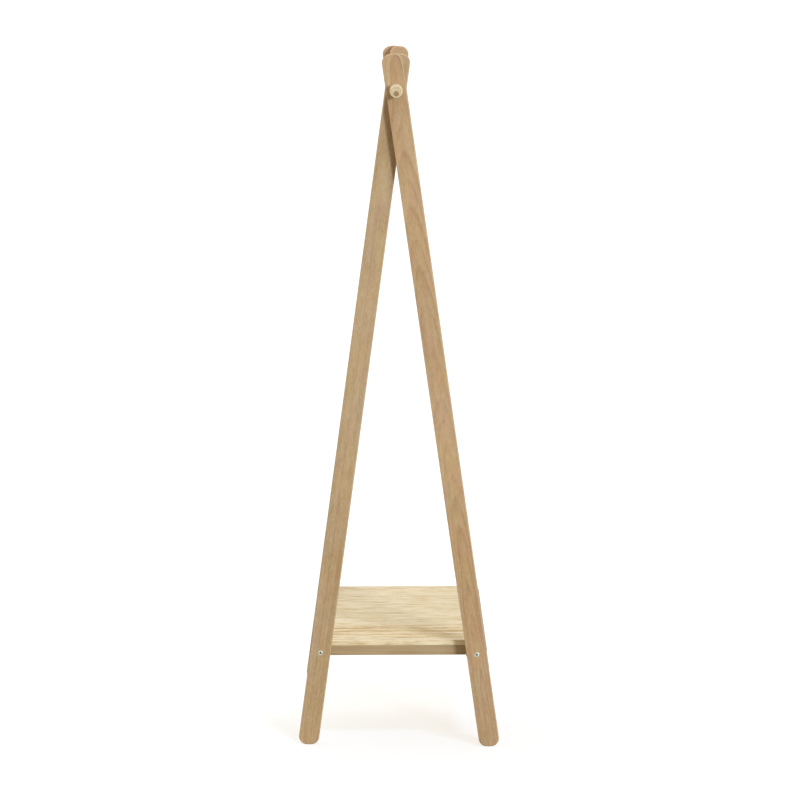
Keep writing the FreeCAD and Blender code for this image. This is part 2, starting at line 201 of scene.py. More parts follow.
def new_material(name):
    """A material with its node tree, and the shader that it starts with."""
    material = bpy.data.materials.new(name)
    material.use_nodes = True
    return material, Finish(material.node_tree), material.node_tree.nodes["Principled BSDF"]


print("a mid grey is", [round(value, 3) for value in colour(128, 128, 128)[:3]])

# %% [markdown]
# ## Floor and light
# The stand is photographed on white, with a faint warm shadow at its feet. A lit white floor would be grey
# in places, so for the camera the floor glows nearly white by itself, more behind than in front, and takes
# only a part of the light, which is what keeps the shadow. A low lamp at the front right throws the shadow
# of each near leg on the leg behind it. A high lamp above it draws the leg's shadow over the shelf and the
# floor, a weak one behind the stand brings the shade forward, and a very broad one lights the other sides.
# A warm room fills the rest. All four lamps are suns, so that the feet get as much light as the tops.

# %% Floor
FLOOR_SIZE = 600
FRONT_GLOW = (0.826, 0.775, 0.71, 1.0)
BACK_GLOW = (0.92, 0.88, 0.82, 1.0)
GLOW_CHANGES = (0.20, -0.12)
FLOOR_TAKES = (0.225, 0.29, 0.37, 1.0)
FLOOR_SENDS = (0.39, 0.37, 0.31, 1.0)


def seen_directly(finish):
    """1 for the camera and for mirrors, 0 for light that bounces on."""
    path = finish.node("ShaderNodeLightPath").socket.node.outputs
    camera_ray, glossy_ray, clear_ray = (
        Wire(finish, path[name]) for name in ("Is Camera Ray", "Is Glossy Ray", "Is Transmission Ray"))
    return finish.maths("MINIMUM", camera_ray + glossy_ray + clear_ray, 1.0)


bpy.ops.mesh.primitive_plane_add(size=FLOOR_SIZE)
floor = bpy.context.object
floor.name = "floor"
floor_material, floor_finish, plain_shader = new_material("white_floor")
floor_material.node_tree.nodes.remove(plain_shader)
bounced = floor_finish.node("ShaderNodeBsdfDiffuse", None, {"Color": FLOOR_SENDS})
taken = floor_finish.node("ShaderNodeBsdfDiffuse", None, {"Color": FLOOR_TAKES})
floor_place = floor_finish.node("ShaderNodeTexCoord", output="Object")
behind = floor_finish.fade(floor_finish.parts(floor_place)[0], *GLOW_CHANGES)
glow_tone = floor_finish.blend(behind, FRONT_GLOW, BACK_GLOW)
glow = floor_finish.node("ShaderNodeEmission", None, {"Color": glow_tone, "Strength": 1.0})
shown = floor_finish.node("ShaderNodeAddShader", None, {0: taken, 1: glow})
floor_look = floor_finish.node("ShaderNodeMixShader", None,
                               {0: seen_directly(floor_finish), 1: bounced, 2: shown})
floor_finish.feed(floor_material.node_tree.nodes["Material Output"].inputs["Surface"], floor_look)
floor.data.materials.append(floor_material)
print("floor", FLOOR_SIZE, "m wide")

# %% Room
ROOM_LIGHT = 0.51
ROOM_TINT = (1.12, 0.98, 0.79, 1.0)
WHITE = (1.0, 1.0, 1.0, 1.0)

room = bpy.data.worlds.new("white_room")
room.use_nodes = True
bpy.context.scene.world = room
room_finish = Finish(room.node_tree)
lit = room.node_tree.nodes["Background"]
lit.inputs["Color"].default_value = ROOM_TINT
lit.inputs["Strength"].default_value = ROOM_LIGHT
white = room_finish.node("ShaderNodeBackground", None, {"Color": WHITE, "Strength": 1.0})
lighting = Wire(room_finish, lit.outputs[0])
room_look = room_finish.node("ShaderNodeMixShader", None,
                             {0: seen_directly(room_finish), 1: lighting, 2: white})
room_finish.feed(room.node_tree.nodes["World Output"].inputs["Surface"], room_look)
bpy.context.scene.view_settings.view_transform = "Standard"
print("room light", ROOM_LIGHT)

# %% Lamps
LAMP_DISTANCE = 3
LAMPS = {
    "front_lamp": {"aside": 24.7, "up": 10.0, "strength": 1.55, "breadth": 10.0, "tint": (0.97, 1.0, 1.05)},
    "high_lamp": {"aside": 29.0, "up": 57.0, "strength": 0.72, "breadth": 8.0, "tint": (0.90, 1.0, 1.30)},
    "top_lamp": {"aside": 183.0, "up": 43.0, "strength": 0.30, "breadth": 22.0, "tint": (0.98, 1.0, 1.0)},
    "back_lamp": {"aside": 228.0, "up": 12.0, "strength": 1.15, "breadth": 90.0, "tint": (0.97, 1.0, 1.04)},
}
for name, lamp in LAMPS.items():
    aside = math.radians(lamp["aside"])
    raised = math.radians(lamp["up"])
    level = math.cos(raised)
    to_lamp = Vector((level * math.cos(aside), level * math.sin(aside), math.sin(raised)))
    bpy.ops.object.light_add(type="SUN", location=LAMP_DISTANCE * to_lamp)
    sun = bpy.context.object
    sun.name = name
    sun.rotation_euler = to_lamp.to_track_quat("Z", "Y").to_euler()
    sun.data.energy = lamp["strength"]
    sun.data.angle = math.radians(lamp["breadth"])
    sun.data.color = lamp["tint"]
    print(name, lamp["up"], "degrees up")

# %% [markdown]
# ## Wood
# A board is cut from a tree whose yearly rings stand round a heart. If the grain is drawn in three
# dimensions, as rings about that heart, then each face shows what a saw would show: arches where it cuts
# the rings flat, straight lines where it cuts across them, and arcs on the end. Each piece gets its own
# heart line, so no two pieces look alike. Streaks, pores and slow changes of colour are noise that is drawn
# out along the grain. Sizes of noise are given as its width and its length, both in millimetres.

# %% Grain
WANDER_SIZE = (110.0, 420.0)
PATCH_SIZE = (30.0, 260.0)
PATCH_FADE = (0.30, 0.60)
LATE_SHARPNESS = 3.0
LATE_END = 0.25
LATE_LEAST = 0.4
PORE_SIZE = (0.45, 6.0)
PORE_FADE = (0.62, 0.72)
END_FADE = (0.55, 0.9)


def in_the_board(finish, centre=(0.0, 0.0, 0.0), turn=(0.0, 0.0, 0.0)):
    """Millimetres from the board's centre, with the grain along Z."""
    place = finish.node("ShaderNodeTexCoord", output="Object")
    return finish.node("ShaderNodeMapping", {"vector_type": "TEXTURE"},
                       {"Vector": place, "Location": centre, "Rotation": turn, "Scale": (MM, MM, MM)})


def streaks(finish, place, size, detail=2.0):
    """Noise drawn out along the grain, in streaks of that width and length."""
    width, length = size
    drawn_out = finish.vectors("MULTIPLY", place, (1 / width, 1 / width, 1 / length))
    return finish.node("ShaderNodeTexNoise", None, {"Vector": drawn_out, "Scale": 1.0, "Detail": detail})


def uneven(finish, place, size, detail=2.0):
    """The same noise, about zero."""
    return streaks(finish, place, size, detail) - 0.5


def growth(finish, place, figure):
    """Years counted from the heart line, which leans by slope and wanders by sway."""
    across, beside, along = finish.parts(place)
    depth = across - figure["heart"][0] + along * figure["slope"]
    side = beside - figure["heart"][1]
    wander = uneven(finish, place, WANDER_SIZE) * figure["sway"]
    return (finish.distance(depth, side) + wander) / figure["width"]


def late_wood_in(finish, place, season):
    """The dark end of each year, which is strong in some patches and weak in others."""
    patchy = finish.fade(streaks(finish, place, PATCH_SIZE, 1.0), *PATCH_FADE)
    strength = LATE_LEAST + patchy * (1 - LATE_LEAST)
    return season ** LATE_SHARPNESS * finish.fade(1 - season, 0.0, LATE_END) * strength


def pores_in(finish, place, season):
    """Short dark pores, which grow mostly early in the year."""
    return finish.fade(streaks(finish, place, PORE_SIZE, 1.0), *PORE_FADE) * (1 - season)


def end_grain(finish, along):
    """1 on faces that are cut across the grain, 0 along it."""
    facing = finish.node("ShaderNodeTexCoord", output="Normal")
    return finish.fade(abs(finish.vectors("DOT_PRODUCT", facing, along, "Value")), *END_FADE)


print("grain is drawn about each board's own heart line")

# %% [markdown]
# ## One finish for all woods
# A plain figure gives the usual strengths: of the broad lines, the fine lines, the blotches, the clouds
# and the darker ends, and of how far the colour turns ashen or ruddy. Each piece could have a shader of its
# own, but then a change would have to be made in all of them. So a piece says only what is different in its
# own figure. The lines and blotches add up to one number, which a ramp turns into the wood's tones.

# %% Wood finish
PLAIN_FIGURE = {"sway": 10.0, "up_the_tree": 0.0, "lines": 0.8, "line_size": (6.0, 260.0),
                "fine": 0.4, "fine_size": (0.9, 45.0), "blotch": 0.0, "blotch_size": (11.0, 34.0),
                "cloud": 0.4, "ends": 0.2, "ashen": 0.15, "ruddy": 0.01}
CLOUD_SIZE = (45.0, 160.0)
ASHEN_SIZE = (28.0, 110.0)
RUDDY_SIZE = (19.0, 75.0)
MEAN_LIGHT = 0.56
YEAR_LIGHT = 0.12
PORE_LIGHT = 0.2
SAME_HUE = 0.5
WOOD_ROUGH = 0.66
ROUGH_CHANGE = 0.12
WOOD_SHINE = 0.25
WOOD_RELIEF = {"Strength": 0.25, "Distance": 0.0004}
FINE_RELIEF = 0.6
LATE_RELIEF = 0.5


def one_board(finish, place):
    """The piece is one board: its grain is drawn where it stands."""
    return place, place


def wood(name, tones, board, rings, split=one_board, touch=None):
    """A wooden finish. Tones are dark, middle and pale, and touch adds light or dark in some places."""
    figure = PLAIN_FIGURE | rings
    material, finish, shader = new_material(name)
    centre, turn, along = board
    board_place, grain_place = split(finish, in_the_board(finish, centre, turn))
    tree_place = finish.vectors("ADD", grain_place, (0.0, 0.0, figure["up_the_tree"]))
    years = growth(finish, grain_place, figure)
    season = finish.maths("FRACT", years)
    year_tone = finish.node("ShaderNodeTexWhiteNoise", {"noise_dimensions": "1D"},
                            {"W": finish.maths("FLOOR", years)})
    late_wood = late_wood_in(finish, tree_place, season)
    pore = pores_in(finish, tree_place, season)
    fine = streaks(finish, tree_place, figure["fine_size"], 3.0)
    ends = end_grain(finish, along)
    light = (MEAN_LIGHT + uneven(finish, tree_place, figure["line_size"]) * figure["lines"]
             + uneven(finish, tree_place, figure["blotch_size"]) * figure["blotch"]
             + (fine - 0.5) * figure["fine"]
             + uneven(finish, tree_place, CLOUD_SIZE, 1.0) * figure["cloud"]
             + (year_tone - 0.5) * YEAR_LIGHT
             - late_wood * figure["share"] - pore * PORE_LIGHT - ends * figure["ends"])
    if touch is not None:
        light = light + touch(finish, board_place, grain_place, ends)
    dark, middle, pale = tones
    stops = [(0.0, dark), (0.5, middle), (1.0, pale)]
    tone = finish.node("ShaderNodeValToRGB", {"stops": stops}, {0: light})
    ashen = uneven(finish, tree_place, ASHEN_SIZE, 1.0) * figure["ashen"]
    ruddy = uneven(finish, tree_place, RUDDY_SIZE, 1.0) * figure["ruddy"]
    tone = finish.node("ShaderNodeHueSaturation", None,
                       {"Hue": SAME_HUE + ruddy, "Saturation": 1 - ashen, "Color": tone})
    height = fine * FINE_RELIEF + late_wood * LATE_RELIEF - pore
    bump = finish.node("ShaderNodeBump", None, WOOD_RELIEF | {"Height": height}, "Normal")
    finish.feed(shader.inputs["Base Color"], tone)
    finish.feed(shader.inputs["Roughness"], WOOD_ROUGH - fine * ROUGH_CHANGE + ends * ROUGH_CHANGE)
    finish.feed(shader.inputs["Normal"], bump)
    shader.inputs["Specular IOR Level"].default_value = WOOD_SHINE
    return material


def dress(name, material):
    """Gives a solid its finish."""
    for slot in nodes[name].material_slots:
        slot.material = material


print("a plain figure has", len(PLAIN_FIGURE), "values")

# %% [markdown]
# ## Legs
# The legs are brown, smooth and lightly oiled. The right outer leg is sawn flat, with tall arches in its
# grain, and the inner leg beside it is sawn across the rings, with straight lines. The grain follows each
# leg, which leans by about eight degrees, so the pattern is turned with it. The edges are paler, round the
# top as well, partly rubbed by hands and partly a painted highlight where the rounded edges catch the light,
# and the legs are darker low down, which is painted shade.

# %% Leg finishes
LEG_TONES = (colour(152, 122, 85), colour(184, 155, 117), colour(210, 183, 145))
PALER_TONES = (colour(147, 115, 71), colour(183, 158, 121), colour(206, 185, 150))
LEG_FIGURE = {"lines": 0.3, "fine": 0.6, "fine_size": (2.2, 9.0), "blotch": 0.3, "cloud": 0.25,
              "ends": 0.05, "ashen": 0.25, "ruddy": 0.045}
FOOT_SPREAD = 0.436
rail_low, rail_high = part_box("hanging_rail")
pivot = (rail_low + rail_high) / 2
lean = math.atan(FOOT_SPREAD / 2 / pivot.z)
# The last value of each leg is the strength of the painted shade low down.
LEGS = {
    "outer_leg_right": {"lean": lean, "heart": (98.0, 3.0), "slope": -0.055, "width": 4.6, "sway": 30.0,
                        "share": 0.5, "up_the_tree": 0.0, "lower_shade": 0.08},
    "outer_leg_left": {"lean": lean, "heart": (-95.0, -6.0), "slope": 0.052, "width": 4.9, "sway": 32.0,
                       "share": 0.5, "up_the_tree": 3100.0, "lower_shade": 0.08},
    "inner_leg_right": {"lean": -lean, "heart": (22.0, -118.0), "slope": 0.012, "width": 3.4, "sway": 14.0,
                        "share": 0.3, "up_the_tree": 6300.0, "lower_shade": 0.11},
    "inner_leg_left": {"lean": -lean, "heart": (-30.0, 96.0), "slope": -0.015, "width": 3.9, "sway": 14.0,
                       "share": 0.3, "up_the_tree": 9200.0, "lower_shade": 0.11},
}
LEG_WIDTH = 48.5
LEG_THICKNESS = 28.0
LEG_END_RADIUS = 20.0
LEG_ABOVE_RAIL = 84.0
# Paler edges and top: partly wear, partly a painted highlight on the rounded edges.
EDGE_WEAR_AND_HIGHLIGHT = 0.55
EDGE_WEAR_AND_HIGHLIGHT_RIM = (2.8, 0.4)
EDGE_WEAR_AND_HIGHLIGHT_DEPTH = 2.6
# Where the painted shade low down begins and where it is full, in millimetres along the leg from the rail.
PAINTED_SHADE_BELOW = (-850.0, -1050.0)


def leg_wear_highlight_and_shade(lower_shade):
    """The touch for a leg: paler along its edges and round its top, as wear and a painted highlight, and
    painted shade low down.
    """
    def touch(finish, place, grain, ends):
        across, beside, along = finish.parts(place)
        past_side = finish.maths("MAXIMUM", abs(beside) - (LEG_WIDTH / 2 - LEG_END_RADIUS), 0.0)
        past_top = finish.maths("MAXIMUM", along - (LEG_ABOVE_RAIL - LEG_END_RADIUS), 0.0)
        inside = LEG_END_RADIUS - finish.distance(past_side, past_top)
        near_face = finish.fade(LEG_THICKNESS / 2 - abs(across), EDGE_WEAR_AND_HIGHLIGHT_DEPTH, 0.0)
        # Paler edges and top: wear and a painted highlight.
        edge_wear_and_highlight = finish.fade(inside, *EDGE_WEAR_AND_HIGHLIGHT_RIM) * near_face
        # Darker low down: painted shade.
        return edge_wear_and_highlight * EDGE_WEAR_AND_HIGHLIGHT - finish.fade(along, *PAINTED_SHADE_BELOW) * lower_shade
    return touch


for name, rings in LEGS.items():
    leg_lean = rings["lean"]
    low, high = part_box(name)
    middle = ((low.x + high.x) / 2, 0.0, pivot.z)
    leg_line = (0.0, -math.sin(leg_lean), math.cos(leg_lean))
    board = (middle, (leg_lean, 0.0, 0.0), leg_line)
    tones = PALER_TONES if name == "inner_leg_right" else LEG_TONES
    leg_touch = leg_wear_highlight_and_shade(rings["lower_shade"])
    dress(name, wood(name + "_wood", tones, board, LEG_FIGURE | rings, touch=leg_touch))
print("legs lean by", round(math.degrees(lean), 2), "degrees")

# %% [markdown]
# ## Shelf slats
# The slats are pale and unoiled, with golden streaks of late wood. All nineteen could share one pattern,
# but then the grain would run on from slat to slat as in one board. So the finish counts the slats along
# the shelf, and moves the pattern by a different random step on each. The slats come from four lots of
# wood: behind a plain one at the right end come four golden, streaky ones, and the others are plain again.

# %% Slat finish
PLAIN_TONES = (colour(190, 165, 114), colour(231, 217, 181), colour(241, 231, 204))
GOLDEN_TONES = (colour(170, 136, 70), colour(232, 215, 174), colour(242, 232, 203))
# In each lot the side value is painted light on the narrow sides of the slats, and the edge value darkens
# stretches of the long edges, as darker edges and painted shade in the gaps.
SLAT_LOTS = (
    {"count": 1, "share": 0.4, "painted_side_light": -0.05, "edges": -0.1, "tones": PLAIN_TONES},
    {"count": 4, "share": 0.7, "painted_side_light": -0.05, "edges": -0.7, "tones": GOLDEN_TONES},
    {"count": 7, "share": 0.5, "painted_side_light": 0.2, "edges": -0.3, "tones": PLAIN_TONES},
    {"count": 7, "share": 0.5, "painted_side_light": 0.2, "edges": -0.4, "tones": PLAIN_TONES},
)
SLAT_FIGURE = {"heart": (60.0, -150.0), "slope": 0.01, "width": 8.5, "line_size": (4.0, 160.0),
               "blotch": 1.2, "blotch_size": (9.0, 42.0)}
SLAT_HALF = (16.1, 6.0)
SLAT_STEP = (90.0, 60.0, 900.0)
STEP_SEED = 0.37
EDGE_WIDTH = 4.0
STRETCH_SIZE = (30.0, 50.0)
STRETCH_FADE = (0.40, 0.58)
SIDE_FADE = (0.5, 0.9)
ALONG_Y = ((-math.pi / 2, 0.0, 0.0), (0, 1, 0))
first_low, first_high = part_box("shelf_slat_01")
second_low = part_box("shelf_slat_02")[0]
slat_pitch = (second_low.x - first_low.x) / MM
slat_middle = (first_low + first_high) / 2


def row_of_slats(finish, place):
    """The place on each slat, and a pattern that is moved by another random step on each."""
    across, beside, along = finish.parts(place)
    count = finish.maths("FLOOR", across / slat_pitch + 0.5)
    on_slat = finish.node("ShaderNodeCombineXYZ", None,
                          {0: across - count * slat_pitch, 1: beside, 2: along})
    step = finish.node("ShaderNodeTexWhiteNoise", {"noise_dimensions": "1D"},
                       {"W": count + STEP_SEED}, "Color")
    return on_slat, finish.vectors("ADD", place, finish.vectors("MULTIPLY", step, SLAT_STEP))


def along_edges(finish, place, half_sizes, width):
    """1 along the long edges of a board of those half sizes."""
    across, beside = finish.parts(place)[:2]
    near_face = finish.fade(half_sizes[0] - abs(across), width, 0.0)
    near_side = finish.fade(half_sizes[1] - abs(beside), width, 0.0)
    return near_face * near_side


def slat_edges(painted_side_tone, edge_and_gap_tone):
    """The touch for slats: painted light on their narrow sides, and darker stretches of their long edges, as
    darker edges and painted shade in the gaps.
    """
    def touch(finish, place, grain, ends):
        facing = finish.node("ShaderNodeTexCoord", output="Normal")
        # Faces that look along the shelf get painted light.
        sideways = finish.fade(abs(finish.parts(facing)[0]), *SIDE_FADE)
        stretch = finish.fade(streaks(finish, grain, STRETCH_SIZE), *STRETCH_FADE)
        # Darker stretches along the long edges: darker edges and painted shade in the gaps between slats.
        edge = along_edges(finish, place, SLAT_HALF, EDGE_WIDTH) * stretch * (1 - sideways)
        return sideways * painted_side_tone + edge * edge_and_gap_tone
    return touch


slat_board = (tuple(slat_middle), *ALONG_Y)
slat_names = sorted((name for name in nodes if name.startswith("shelf_slat_")), reverse=True)
done = 0
for number, lot in enumerate(SLAT_LOTS):
    slat_wood = wood("slat_wood_" + str(number + 1), lot["tones"], slat_board,
                     SLAT_FIGURE | {"share": lot["share"]},
                     split=row_of_slats, touch=slat_edges(lot["painted_side_light"], lot["edges"]))
    for name in slat_names[done:done + lot["count"]]:
        dress(name, slat_wood)
    done += lot["count"]
print(done, "slats,", round(slat_pitch, 1), "mm apart")

# %% [markdown]
# ## Shelf frame
# The rails under the slats are the same brown wood as the legs, a little greyer. The two long rails run
# along the shelf and the three cross rails lie across it, so they need the grain turned two ways.

# %% Shelf frame finishes
FRAME_TONES = (colour(138, 114, 81), colour(171, 149, 113), colour(192, 170, 133))
LONG_FIGURE = {"slope": 0.02, "width": 3.8, "share": 0.5}
LONG_HEARTS = {"shelf_hinge_rail": (40.0, 12.0), "shelf_hook_rail": (-36.0, -20.0)}
CROSS_FIGURE = {"slope": 0.015, "width": 3.6, "share": 0.5}
CROSS_HEARTS = {"shelf_cross_rail_right": (18.0, 52.0), "shelf_cross_rail_middle": (-44.0, 30.0),
                "shelf_cross_rail_left": (25.0, -60.0)}
ALONG_X = ((0.0, math.pi / 2, 0.0), (1, 0, 0))


def middle_of(name):
    """The middle of a solid."""
    low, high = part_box(name)
    return tuple((low + high) / 2)


for hearts, figure, way in ((LONG_HEARTS, LONG_FIGURE, ALONG_X), (CROSS_HEARTS, CROSS_FIGURE, ALONG_Y)):
    for name, heart in hearts.items():
        board = (middle_of(name), *way)
        dress(name, wood(name + "_wood", FRAME_TONES, board, figure | {"heart": heart}))
print(len(LONG_HEARTS), "long rails and", len(CROSS_HEARTS), "cross rails")

# %% [markdown]
# ## Hanging rail, pins and dowels
# The rail is turned from pale wood, and its end shows arcs of rings. The pins that lock it in the outer
# legs and the dowels in the shelf are the same wood, cut to short lengths.

# %% Rail finishes
RAIL_TONES = (colour(190, 170, 126), colour(220, 204, 166), colour(242, 230, 204))
RAIL_FIGURE = {"heart": (9.0, -24.0), "slope": 0.004, "width": 3.2, "share": 0.4, "ends": 0.25}
DOWEL_FIGURE = {"heart": (5.0, -14.0), "slope": 0.0, "width": 2.2, "share": 0.4}
RAIL_RADIUS = 15.0
RIM_FADE = (RAIL_RADIUS - 4.0, RAIL_RADIUS - 1.0)
# The pale rim of the rail's end is a painted highlight.
PAINTED_RIM_HIGHLIGHT = 0.45


def painted_rim_highlight(finish, place, grain, ends):
    """The touch for the rail: a painted highlight makes the rounded rim of its end paler than its face."""
    across, beside = finish.parts(place)[:2]
    return ends * finish.fade(finish.distance(across, beside), *RIM_FADE) * PAINTED_RIM_HIGHLIGHT


rail_board = (middle_of("hanging_rail"), *ALONG_X)
dress("hanging_rail", wood("rail_wood", RAIL_TONES, rail_board, RAIL_FIGURE, touch=painted_rim_highlight))
dowel_board = (middle_of("shelf_dowels"), *ALONG_Y)
dowel_wood = wood("dowel_wood", RAIL_TONES, dowel_board, DOWEL_FIGURE)
for name in ("shelf_dowels", "rail_pin_right", "rail_pin_left"):
    dress(name, dowel_wood)
print("rail", round((rail_high.y - rail_low.y) / MM, 1), "mm thick")

# %% [markdown]
# ## End plugs
# A brown wooden plug fills the hole that the lathe left in each end of the rail. It could be a plain disc,
# but a real plug is pressed in, then sanded: its face is a little domed and its edge is broken. So a short
# cylinder has its front face inset twice, each time a little further out, and its back edge bevelled for
# pressing in. Three helpers come first, for this and the other fittings: one selects points, one ends the
# modelling of a piece, and one copies a model.

# %% Modelling helpers
SMOOTH_BELOW = math.radians(30)


def pick(test):
    """In edit mode, selects the points that pass the test, with the edges and faces between them."""
    bpy.ops.mesh.select_mode(type="VERT")
    bpy.ops.mesh.select_all(action="DESELECT")
    mesh = bpy.context.object.data
    shape = bmesh.from_edit_mesh(mesh)
    for vertex in shape.verts:
        vertex.select = test(vertex.co / MM)
    shape.select_flush_mode()
    bmesh.update_edit_mesh(mesh)


def settle(name, material):
    """Ends the modelling of the active object: its mesh takes up its place, and it gets name and finish."""
    piece = bpy.context.object
    bpy.ops.object.transform_apply(location=True, rotation=True, scale=True)
    bpy.ops.object.shade_smooth_by_angle(angle=SMOOTH_BELOW)
    piece.name = name
    piece.data.name = name
    piece.data.materials.clear()
    piece.data.materials.append(material)
    return piece


def copy_of(model):
    """A copy of a finished model, with a mesh of its own, as the active object."""
    bpy.ops.object.select_all(action="DESELECT")
    model.select_set(True)
    bpy.context.view_layer.objects.active = model
    bpy.ops.object.duplicate()
    return bpy.context.object


print("faces that meet at less than", round(math.degrees(SMOOTH_BELOW)), "degrees are shaded smooth")

# %% Plugs
PLUG_TONES = (colour(128, 100, 68), colour(174, 145, 109), colour(192, 164, 128))
PLUG_FIGURE = {"slope": 0.0, "width": 2.4, "share": 0.3}
PLUG_HEART = (4.0, 9.0)
PLUG_SIDES = 40
DOME_STEPS = ((0.8, 0.4), (2.4, 0.2))
DOME_HEIGHT = 0.6
PLUG_BEVEL = 0.7
BEHIND_FACE = -2
for side, sign in (("right", 1), ("left", -1)):
    node = "rail_plug_" + side
    low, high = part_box(node)
    depth = high.x - low.x
    radius = (high.z - low.z) / 2
    face = high.x if sign > 0 else low.x
    bpy.ops.object.select_all(action="DESELECT")
    bpy.ops.mesh.primitive_cylinder_add(vertices=PLUG_SIDES, radius=radius, depth=depth - DOME_HEIGHT * MM,
                                        location=(0, 0, -depth / 2 - DOME_HEIGHT / 2 * MM))
    bpy.ops.object.transform_apply(location=True)
    bpy.ops.object.mode_set(mode="EDIT")
    pick(lambda point: point.z > BEHIND_FACE)
    for inwards, outwards in DOME_STEPS:
        bpy.ops.mesh.inset(thickness=inwards * MM, depth=outwards * MM)
    pick(lambda point: point.z < BEHIND_FACE)
    bpy.ops.mesh.bevel(offset=PLUG_BEVEL * MM, segments=2)
    bpy.ops.object.mode_set(mode="OBJECT")
    plug = bpy.context.object
    plug.location = (face, (low.y + high.y) / 2, (low.z + high.z) / 2)
    plug.rotation_euler = (0, sign * math.pi / 2, 0)
    plug_board = (middle_of(node), *ALONG_X)
    plug_rings = PLUG_FIGURE | {"heart": (PLUG_HEART[0], PLUG_HEART[1] * sign)}
    plug = settle("domed_plug_" + side, wood("plug_wood_" + side, PLUG_TONES, plug_board, plug_rings))
    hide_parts(node)
    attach(plug, "outer_frame")
    print(plug.name, len(plug.data.polygons), "faces")

# %% [markdown]
# ## Metal and nylon
# The bolts and the rest bar are zinc plated steel, the inserts are brass, and thin nylon washers keep the
# legs from rubbing. Plating is never quite even, so fine scratches and a cloudy tone are drawn in noise. On
# the bolts the tool's rings run round the head and the socket is darkened with painted shade, so the finish
# measures from the bolt.

# %% Metal finishes
CLOUDS_PER_MM = 0.12
SCRATCH_LIGHT = 0.7
CLOUD_LIGHT = 0.8
SCRATCH_ROUGH = 0.25
CLOUD_ROUGH = 0.2
METAL_RELIEF = {"Strength": 0.15, "Distance": 0.0002}
SOCKET_RADIUS = 2.3
SOCKET_FADE = (SOCKET_RADIUS + 0.4, SOCKET_RADIUS - 0.2)
# The dark socket is painted shade in its recess.
SOCKET_PAINTED_SHADE = 0.55
RINGS_PER_MM = 5.0
RING_LIGHT = 0.5
pivot_low, pivot_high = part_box("shelf_pivot_bolt_right")
bolt_aside = (pivot_low.y + pivot_high.y) / 2 / MM
bolt_height = (pivot_low.z + pivot_high.z) / 2 / MM


def metal(name, dark, bright, drawn, rough, touch=None):
    """A metal whose scratches are drawn out by those three lengths in millimetres."""
    material, finish, shader = new_material(name)
    place = in_the_board(finish)
    stretched = finish.vectors("DIVIDE", place, drawn)
    scratch = finish.node("ShaderNodeTexNoise", None, {"Vector": stretched, "Scale": 1.0, "Detail": 3.0})
    cloud = finish.node("ShaderNodeTexNoise", None,
                        {"Vector": place, "Scale": CLOUDS_PER_MM, "Detail": 2.0})
    light = 0.5 + (scratch - 0.5) * SCRATCH_LIGHT + (cloud - 0.5) * CLOUD_LIGHT
    if touch is not None:
        light = light + touch(finish, place)
    tone = finish.node("ShaderNodeValToRGB", {"stops": [(0.0, dark), (1.0, bright)]}, {0: light})
    bump = finish.node("ShaderNodeBump", None, METAL_RELIEF | {"Height": scratch}, "Normal")
    finish.feed(shader.inputs["Base Color"], tone)
    finish.feed(shader.inputs["Roughness"],
                rough + (scratch - 0.5) * SCRATCH_ROUGH + (cloud - 0.5) * CLOUD_ROUGH)
    finish.feed(shader.inputs["Normal"], bump)
    shader.inputs["Metallic"].default_value = 1.0
    return material


def turned_head(finish, place):
    """The touch for a bolt: fine rings round its axis, and painted shade in the socket in the middle."""
    across, height = finish.parts(place)[1:]
    radius = finish.distance(abs(across) - bolt_aside, height - bolt_height)
    rings = finish.node("ShaderNodeTexNoise", {"noise_dimensions": "1D"},
                        {"W": radius * RINGS_PER_MM, "Scale": 1.0})
    return (rings - 0.5) * RING_LIGHT - finish.fade(radius, *SOCKET_FADE) * SOCKET_PAINTED_SHADE


bolt_steel = metal("bolt_steel", colour(96, 97, 84), colour(226, 227, 212), (1.5, 1.5, 1.5), 0.38,
                   turned_head)
bar_steel = metal("bar_steel", colour(150, 151, 146), colour(214, 215, 210), (40.0, 0.8, 0.8), 0.34)
screw_steel = metal("screw_steel", colour(150, 146, 128), colour(220, 216, 198), (1.2, 1.2, 1.2), 0.36)
insert_brass = metal("insert_brass", colour(146, 112, 52), colour(222, 188, 112), (6.0, 0.9, 0.9), 0.34)
dress("rest_bar", bar_steel)
for side in ("right", "left"):
    dress("hinge_insert_" + side, insert_brass)
print("bolts stand", round(bolt_aside, 1), "mm from the middle and", round(bolt_height), "mm up")

# %% Nylon finish
NYLON_STOPS = [(0.3, colour(206, 202, 190)), (0.7, colour(230, 227, 218))]
NYLON_ROUGH = 0.38
MOTTLE_ROUGH = 0.2
MOTTLES_PER_MM = 0.3
nylon, nylon_finish, nylon_shader = new_material("washer_nylon")
nylon_place = in_the_board(nylon_finish)
mottle = nylon_finish.node("ShaderNodeTexNoise", None,
                           {"Vector": nylon_place, "Scale": MOTTLES_PER_MM, "Detail": 3.0})
nylon_tone = nylon_finish.node("ShaderNodeValToRGB", {"stops": NYLON_STOPS}, {0: mottle})
nylon_finish.feed(nylon_shader.inputs["Base Color"], nylon_tone)
nylon_finish.feed(nylon_shader.inputs["Roughness"], NYLON_ROUGH + mottle * MOTTLE_ROUGH)
for side in ("right", "left"):
    dress("pivot_washer_" + side, nylon)
print("two nylon washers")

# %% [markdown]
# ## Bolts
# Four countersunk bolts with hexagon sockets hold the shelf. A bolt could be cut from solids, but a lathe
# works with a profile, and so does this: a hexagon is drawn down into the socket, a circle round it
# becomes the edge of the head, the two are bridged, and the circle is then pulled down through the rim, the
# cone and the shank. A profile is a list of rings, each a radius and a height in millimetres.

